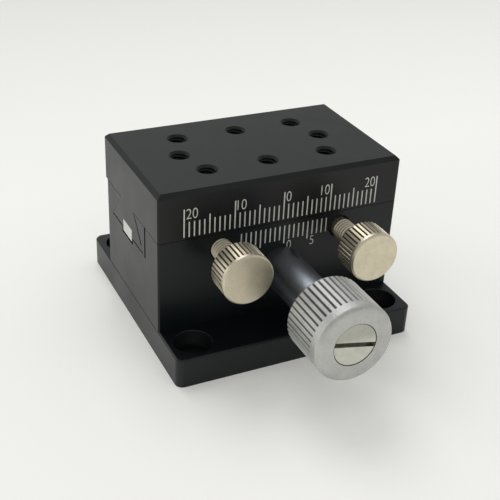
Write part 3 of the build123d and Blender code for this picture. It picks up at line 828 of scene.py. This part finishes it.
class STAGE_OT_screw_threads(bpy.types.Operator):
    """Cuts the threads on the bare lengths of the clamp screws"""

    bl_idname = "stage.screw_threads"
    bl_label = "Screw threads"

    def execute(self, context):
        finish = context.scene.stage_finish
        for side, axis in CLAMP_AXES.items():
            bm = bmesh.new()
            start = Vector((axis.x, CLAMP_FRONTS[side] + CLAMP_HEAD_LENGTH, axis.z))
            room = body_low.y - CLAMP_TRAVEL_IN[side] - start.y
            thread_ridge(bm, start, BACK, ACROSS, CLAMP_SHANK_RADIUS, CLAMP_THREAD_RADIUS,
                         THREAD_PITCH, room)
            nickel = turned_metal(f"threaded_nickel_{side}", finish.clamp_colour, axis, 0.34, 0.92)
            piece_from(bm, f"screw_thread_{side}", nickel, f"clamp_screw_{side}",
                       SMOOTH_ANGLE)
        return {"FINISHED"}


class STAGE_OT_studio(bpy.types.Operator):
    """Sets the floor, the lamps, the world and the camera"""

    bl_idname = "stage.studio"
    bl_label = "Studio"

    def execute(self, context):
        studio = context.scene.stage_studio
        make_floor(studio)
        make_lamps(studio)
        make_world(studio)
        make_camera(studio)
        context.scene.view_settings.view_transform = "Standard"
        return {"FINISHED"}


# ------------------------------------------------------------------ studio
def make_floor(studio):
    """Pale floor that grows darker behind the stage, as painted shade, and curves up into a backdrop far
    off.
    """
    bm = bmesh.new()
    bmesh.ops.create_circle(bm, cap_ends=True, segments=96, radius=FLOOR_RADIUS)
    rim = list(bm.edges)
    for step in range(1, 9):
        angle = math.radians(step * 10)
        made = bmesh.ops.extrude_edge_only(bm, edges=rim)["geom"]
        ring = [v for v in made if isinstance(v, bmesh.types.BMVert)]
        rim = [e for e in made if isinstance(e, bmesh.types.BMEdge)]
        bmesh.ops.translate(bm, verts=ring, vec=(0, 0, FLOOR_RISE * math.sin(angle)))
        spread = 1 + FLOOR_SPREAD * math.cos(angle)
        bmesh.ops.scale(bm, verts=ring, vec=(spread, spread, 1))
    bmesh.ops.recalc_face_normals(bm, faces=bm.faces)
    for face in bm.faces:
        face.smooth = True
    mesh = bpy.data.meshes.new("floor")
    bm.to_mesh(mesh)
    bm.free()
    floor = bpy.data.objects.new("floor", mesh)
    bpy.context.scene.collection.objects.link(floor)
    material, tree, shader, place = new_tree_material("pale_floor")
    cloud = noise_node(tree, place, 6.0, 2.0)
    low = tuple(c * 0.985 for c in studio.floor_colour)
    pale = mix_colour(tree, cloud, (*low, 1), (*studio.floor_colour, 1))
    # Painted shade: the floor's colour darkens towards the back.
    behind = map_range(tree, separate(tree, place)["Y"], 60 * MM, 330 * MM)
    far = tuple(c * 0.60 for c in studio.floor_colour)
    tree.links.new(mix_colour(tree, behind, pale, (*far, 1)), shader.inputs["Base Color"])
    shader.inputs["Roughness"].default_value = 0.75
    shader.inputs["Emission Color"].default_value = (*studio.floor_colour, 1)
    shader.inputs["Emission Strength"].default_value = studio.floor_glow
    mesh.materials.append(material)


def add_softbox(name, place, size, power):
    """Round softbox aimed at the stage."""
    data = bpy.data.lights.new(name, "AREA")
    data.shape = "DISK"
    data.size = size
    data.energy = power
    lamp = bpy.data.objects.new(name, data)
    bpy.context.scene.collection.objects.link(lamp)
    lamp.location = place
    lamp.rotation_euler = (LAMP_AIM - Vector(place)).to_track_quat("-Z", "Y").to_euler()


def make_lamps(studio):
    """A softbox above and behind the stage, and a low one at its left."""
    add_softbox("back_softbox", (0.0, 0.62, 1.0), 0.75, studio.back_power)
    add_softbox("left_softbox", (-1.1, 0.75, 0.32), 0.8, studio.left_power)


def make_world(studio):
    """Even, faintly cool light from all round."""
    world = bpy.data.worlds.new("studio")
    bpy.context.scene.world = world
    world.use_nodes = True
    background = world.node_tree.nodes["Background"]
    background.inputs["Color"].default_value = (0.97, 0.98, 1.0, 1)
    background.inputs["Strength"].default_value = studio.world_strength


def make_camera(studio):
    """Camera from its place, its look direction and its roll."""
    azimuth = studio.camera_azimuth
    elevation = studio.camera_elevation
    back = Vector((math.sin(azimuth) * math.cos(elevation), -math.cos(azimuth) * math.cos(elevation),
                   math.sin(elevation)))
    right = (-back).cross(UP).normalized()
    up = right.cross(-back)
    roll = studio.camera_roll
    side = right * math.cos(roll) + up * math.sin(roll)
    top = up * math.cos(roll) - right * math.sin(roll)
    data = bpy.data.cameras.new("camera")
    data.lens = studio.focal_length
    data.sensor_width = 36.0
    data.clip_start = 0.01
    camera = bpy.data.objects.new("camera", data)
    bpy.context.scene.collection.objects.link(camera)
    turn = Matrix((side, top, back)).transposed().to_4x4()
    camera.matrix_world = Matrix.Translation(studio.camera_place) @ turn
    bpy.context.scene.camera = camera


# ------------------------------------------------------------------ panel
class STAGE_PT_looks(bpy.types.Panel):
    """Lists the makers of the stage's looks"""

    bl_idname = "STAGE_PT_looks"
    bl_label = "Dovetail Stage"
    bl_space_type = "VIEW_3D"
    bl_region_type = "UI"
    bl_category = "Stage"

    def draw(self, context):
        for operator in OPERATORS:
            self.layout.operator(operator.bl_idname)


SETTINGS = {
    "stage_finish": StageFinishSettings,
    "stage_scale": ScaleSettings,
    "stage_studio": StudioSettings,
}
OPERATORS = (
    STAGE_OT_black_parts,
    STAGE_OT_drive_parts,
    STAGE_OT_clamp_parts,
    STAGE_OT_fasteners,
    STAGE_OT_carriage_scale,
    STAGE_OT_body_scale,
    STAGE_OT_hole_threads,
    STAGE_OT_bore_rims,
    STAGE_OT_screw_threads,
    STAGE_OT_studio,
)


def register():
    """Registers the settings, the operators and the panel."""
    for name, group in SETTINGS.items():
        bpy.utils.register_class(group)
        setattr(bpy.types.Scene, name, bpy.props.PointerProperty(type=group))
    for entry in (*OPERATORS, STAGE_PT_looks):
        bpy.utils.register_class(entry)


def unregister():
    """Takes the panel, the operators and the settings away again."""
    for entry in (*OPERATORS, STAGE_PT_looks):
        bpy.utils.unregister_class(entry)
    for name, group in SETTINGS.items():
        delattr(bpy.types.Scene, name)
        bpy.utils.unregister_class(group)


def main():
    """Dresses the stage."""
    register()
    bpy.ops.stage.black_parts()
    bpy.ops.stage.drive_parts()
    bpy.ops.stage.clamp_parts()
    bpy.ops.stage.fasteners()
    bpy.ops.stage.carriage_scale()
    bpy.ops.stage.body_scale()
    bpy.ops.stage.hole_threads()
    bpy.ops.stage.bore_rims()
    bpy.ops.stage.screw_threads()
    bpy.ops.stage.studio()


if __name__ == "__main__":
    main()
